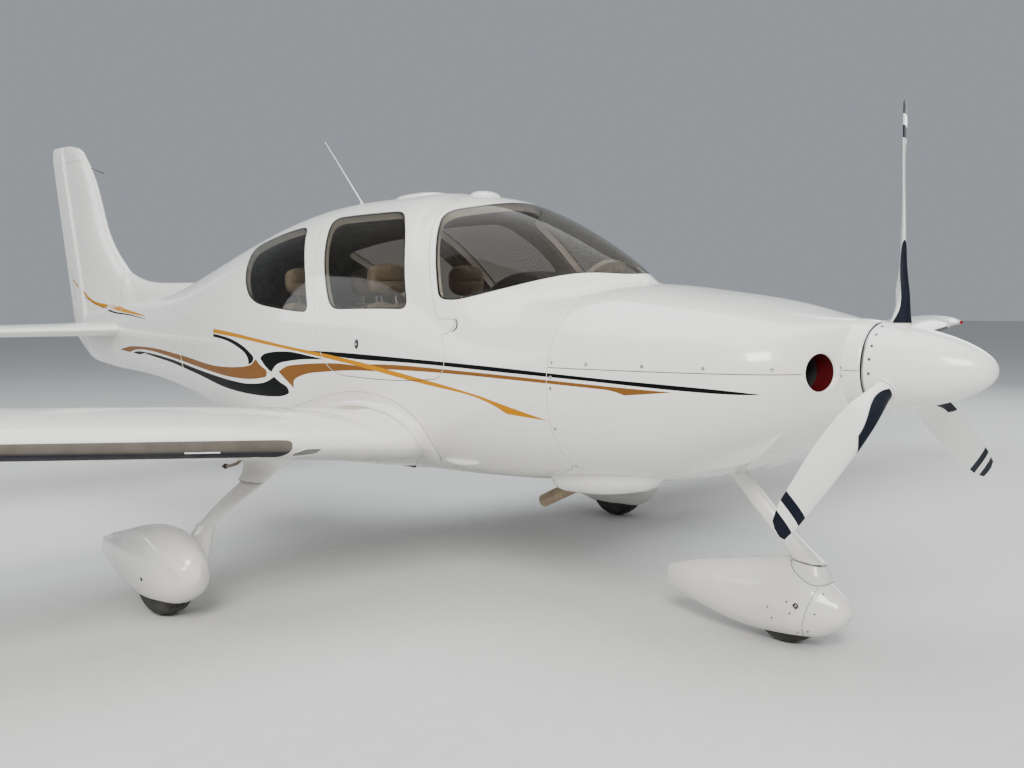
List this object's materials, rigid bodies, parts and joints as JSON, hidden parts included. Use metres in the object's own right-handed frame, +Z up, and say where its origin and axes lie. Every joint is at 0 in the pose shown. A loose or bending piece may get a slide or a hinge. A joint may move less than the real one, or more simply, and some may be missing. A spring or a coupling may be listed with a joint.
{
  "type": "light aircraft",
  "caption": "Low-wing four-seat light aircraft with fixed tricycle gear in wheel fairings, castering nose wheel, front-hinged doors, propeller and hinged control surfaces.",
  "frame": {"origin": "on the ground under the middle of the aircraft's length and span", "axes": "+X to the nose, +Y to the port wing, +Z up"},
  "size_m": [7.92, 11.73, 2.69],
  "materials": {
    "airframe_paint": "gloss white paint on composite",
    "window_glass": "clear acrylic",
    "cabin_trim": "short grey carpet",
    "panel_black": "matt black cover",
    "seat_leather": "tan leather",
    "engine_metal": "cast block",
    "exhaust_metal": "heat-tinted steel",
    "blade_paint": "white enamel on aluminium",
    "hub_metal": "machined steel",
    "gear_steel": "painted steel",
    "tyre_rubber": "ribbed tyre",
    "rim_metal": "cast aluminium"
  },
  "bodies": {
    "airframe": {"cabin_shell": "airframe_paint", "rear_window_left": "window_glass", "rear_window_right": "window_glass", "windshield": "window_glass", "cabin_floor": "cabin_trim", "instrument_panel": "panel_black", "seat_front_left": "seat_leather", "seat_front_right": "seat_leather", "seat_rear": "seat_leather", "cowl_upper": "airframe_paint", "cowl_lower": "airframe_paint", "cowl_nose": "airframe_paint", "engine_block": "engine_metal", "exhaust_pipe": "exhaust_metal", "wing_left": "airframe_paint", "wing_right": "airframe_paint", "stabilizer": "airframe_paint", "tail_cone": "airframe_paint", "nose_leg": "gear_steel", "main_leg_left": "airframe_paint", "main_leg_right": "airframe_paint", "main_pant_left": "airframe_paint", "main_pant_right": "airframe_paint", "main_axle_left": "gear_steel", "main_axle_right": "gear_steel"},
    "propeller": {"blade_1": "blade_paint", "blade_2": "blade_paint", "blade_3": "blade_paint", "prop_hub": "hub_metal", "spinner": "blade_paint"},
    "left_door": {"door_left": "airframe_paint", "door_window_left": "window_glass"},
    "right_door": {"door_right": "airframe_paint", "door_window_right": "window_glass"},
    "left_flap": {"flap_left": "airframe_paint"},
    "right_flap": {"flap_right": "airframe_paint"},
    "left_aileron": {"aileron_left": "airframe_paint"},
    "right_aileron": {"aileron_right": "airframe_paint"},
    "elevator": {"elevator_left": "airframe_paint", "elevator_right": "airframe_paint", "elevator_tube": "gear_steel"},
    "rudder": {"rudder": "airframe_paint"},
    "left_wheel": {"main_tyre_left": "tyre_rubber", "main_rim_left": "rim_metal"},
    "right_wheel": {"main_tyre_right": "tyre_rubber", "main_rim_right": "rim_metal"},
    "caster": {"nose_fork": "gear_steel", "nose_axle": "gear_steel", "nose_pant": "airframe_paint"},
    "nose_wheel": {"nose_tyre": "tyre_rubber", "nose_rim": "rim_metal"}
  },
  "joints": [
    {"name": "propeller_spin", "type": "hinge", "parent": "airframe", "child": "propeller", "pos_m": [3.593, 0, 1.156], "axis": [1, 0, 0], "continuous": true},
    {"name": "left_door_hinge", "type": "hinge", "parent": "airframe", "child": "left_door", "pos_m": [1.798, 0.657, 1.1], "axis": [0, 0.2792, -0.9602], "range_deg": [0, 68]},
    {"name": "right_door_hinge", "type": "hinge", "parent": "airframe", "child": "right_door", "pos_m": [1.798, -0.657, 1.1], "axis": [0, 0.2792, 0.9602], "range_deg": [0, 68]},
    {"name": "left_wheel_spin", "type": "hinge", "parent": "airframe", "child": "left_wheel", "pos_m": [0.882, 1.607, 0.193], "axis": [0, 1, 0], "continuous": true},
    {"name": "right_wheel_spin", "type": "hinge", "parent": "airframe", "child": "right_wheel", "pos_m": [0.882, -1.607, 0.193], "axis": [0, 1, 0], "continuous": true},
    {"name": "nose_caster", "type": "hinge", "parent": "airframe", "child": "caster", "pos_m": [3.282, 0, 0.33], "axis": [0, 0, 1], "range_deg": [-85, 85]},
    {"name": "nose_wheel_spin", "type": "hinge", "parent": "caster", "child": "nose_wheel", "pos_m": [3.13, 0, 0.172], "axis": [0, 1, 0], "continuous": true},
    {"name": "left_flap_hinge", "type": "hinge", "parent": "airframe", "child": "left_flap", "pos_m": [0.49841, 0.84, 0.65152], "axis": [-0.0604, -0.9922, -0.1094], "range_deg": [0, 32]},
    {"name": "right_flap_hinge", "type": "hinge", "parent": "airframe", "child": "right_flap", "pos_m": [0.49841, -0.84, 0.65152], "axis": [0.0604, -0.9922, 0.1094], "range_deg": [0, 32]},
    {"name": "left_aileron_hinge", "type": "hinge", "parent": "airframe", "child": "left_aileron", "pos_m": [0.65037, 3.26, 0.94956], "axis": [-0.0584, -0.9934, -0.0985], "range_deg": [-12.5, 12.5]},
    {"name": "right_aileron_hinge", "type": "hinge", "parent": "airframe", "child": "right_aileron", "pos_m": [0.65037, -3.26, 0.94956], "axis": [0.0584, -0.9934, 0.0985], "range_deg": [-12.5, 12.5]},
    {"name": "elevator_hinge", "type": "hinge", "parent": "airframe", "child": "elevator", "pos_m": [-2.976, 0, 1.205], "axis": [0, 1, 0], "range_deg": [-15, 25]},
    {"name": "rudder_hinge", "type": "hinge", "parent": "airframe", "child": "rudder", "pos_m": [-3.352, 0, 1.26], "axis": [-0.2741, 0, 0.9617], "range_deg": [-20, 20]}
  ],
  "couplings": [
    {"joint": "right_flap_hinge", "follows": "left_flap_hinge", "ratio": 1},
    {"joint": "right_aileron_hinge", "follows": "left_aileron_hinge", "ratio": -1}
  ]
}
